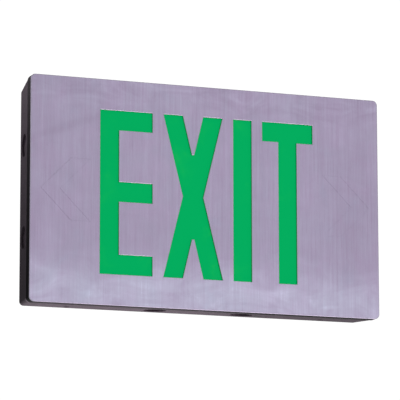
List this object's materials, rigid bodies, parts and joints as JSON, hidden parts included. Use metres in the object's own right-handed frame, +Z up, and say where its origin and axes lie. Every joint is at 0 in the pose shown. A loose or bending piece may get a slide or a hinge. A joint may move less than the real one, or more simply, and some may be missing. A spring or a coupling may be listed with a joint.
{
  "type": "emergency exit light",
  "caption": "Wall-mounted emergency exit sign: tapered die-cast box, lift-off brushed face with a cut-through word legend over a lit green panel, battery and driver inside.",
  "frame": {"origin": "centre of the outlet-box screw pattern, on the wall plane at the back of the back plate", "axes": "+X to the right as the sign is read, +Z up, +Y into the wall; the face looks along -Y"},
  "size_m": [0.359, 0.046, 0.218],
  "materials": {
    "brushed_face": "vertical brushed, clear coated; rim painted black",
    "green_acrylic": "translucent green",
    "spring_steel": "plain",
    "black_paint": "die-cast aluminium, fine textured black powder coat",
    "zinc_steel": "zinc plated sheet",
    "zinc_screws": "zinc plated",
    "white_plastic": "matt white",
    "white_laminate": "white solder mask",
    "led_body": "moulded",
    "green_laminate": "green solder mask",
    "brass_plain": "turned",
    "core_steel": "varnished laminations",
    "amber_tape": "wound tape",
    "dark_sleeve": "shrink sleeve",
    "black_plastic": "moulded",
    "blue_epoxy": "dipped",
    "grey_plastic": "moulded",
    "natural_nylon": "moulded",
    "red_lens": "clear red, unlit",
    "battery_sleeve": "shrink sleeve",
    "green_screw": "green dyed zinc",
    "red_wire": "PVC",
    "black_wire": "PVC",
    "white_wire": "PVC"
  },
  "bodies": {
    "housing": {"housing": "black_paint", "back_plate": "black_paint", "chassis_plate": "zinc_steel", "chassis_screws": "zinc_screws", "faceplate_spring_clips": "spring_steel", "clip_rivets": "zinc_screws", "light_box": "white_plastic", "light_box_rivets": "white_plastic", "upper_led_board": "white_laminate", "lower_led_board": "white_laminate", "upper_leds": "led_body", "lower_leds": "led_body", "driver_board": "green_laminate", "board_standoffs": "brass_plain", "board_screws": "zinc_screws", "transformer_core": "core_steel", "transformer_winding": "amber_tape", "filter_capacitors": "dark_sleeve", "transfer_relay": "black_plastic", "surge_disc": "blue_epoxy", "supply_terminal_block": "grey_plastic", "battery_connector": "natural_nylon", "led_connectors": "natural_nylon", "test_switch": "black_plastic", "button_spring": "spring_steel", "charge_lamp": "red_lens", "lamp_holder": "black_plastic", "battery_pack": "battery_sleeve", "battery_strap": "zinc_steel", "strap_screws": "zinc_screws", "ground_screw": "green_screw", "battery_lead_positive": "red_wire", "battery_lead_negative": "black_wire", "upper_led_lead": "white_wire", "lower_led_lead": "white_wire", "lead_saddles": "natural_nylon"},
    "faceplate": {"faceplate": "brushed_face", "letter_diffuser": "green_acrylic", "diffuser_push_nuts": "spring_steel"},
    "test_button": {"test_button": "black_plastic", "switch_plunger": "natural_nylon"}
  },
  "joints": [
    {"name": "faceplate_pull", "type": "slide", "parent": "housing", "child": "faceplate", "axis": [0, -1, 0], "range_m": [0, 0.06]},
    {"name": "test_button_press", "type": "slide", "parent": "housing", "child": "test_button", "axis": [0, 0, 1], "range_m": [0, 0.0015], "stiffness_N_per_m": 600, "springref_m": -0.002, "deforming": ["button_spring"]}
  ]
}
